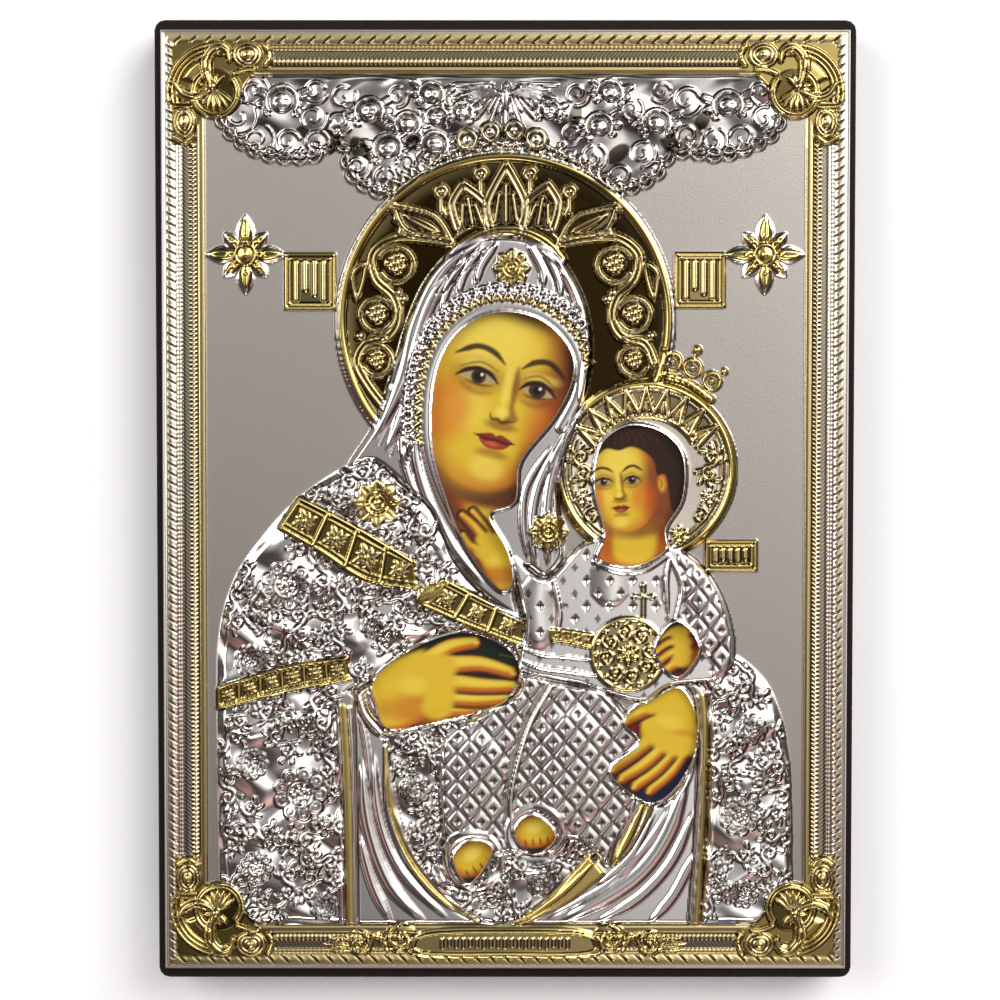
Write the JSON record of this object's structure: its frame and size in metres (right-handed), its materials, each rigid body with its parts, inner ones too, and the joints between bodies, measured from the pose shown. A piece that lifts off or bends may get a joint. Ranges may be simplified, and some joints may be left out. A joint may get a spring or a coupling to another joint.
{
  "type": "icon panel",
  "caption": "Devotional icon panel: a bevelled dark wooden board, a printed picture and a pressed silver and gold metal cover with openings for faces, hands and feet.",
  "frame": {"origin": "middle of the board's back, on the surface that the panel lies on", "axes": "+Z out of the picture, +Y to the top of the picture, +X to the viewer's right"},
  "size_m": [0.16, 0.22, 0.0196],
  "materials": {
    "dark_wood": "dark stain, satin",
    "printed_picture": "glossy print",
    "silver_metal": "pressed, satin ground with polished relief",
    "gold_metal": "polished gold wash"
  },
  "bodies": {
    "root": {"board": "dark_wood", "picture": "printed_picture", "cover": "silver_metal"}
  },
  "joints": []
}
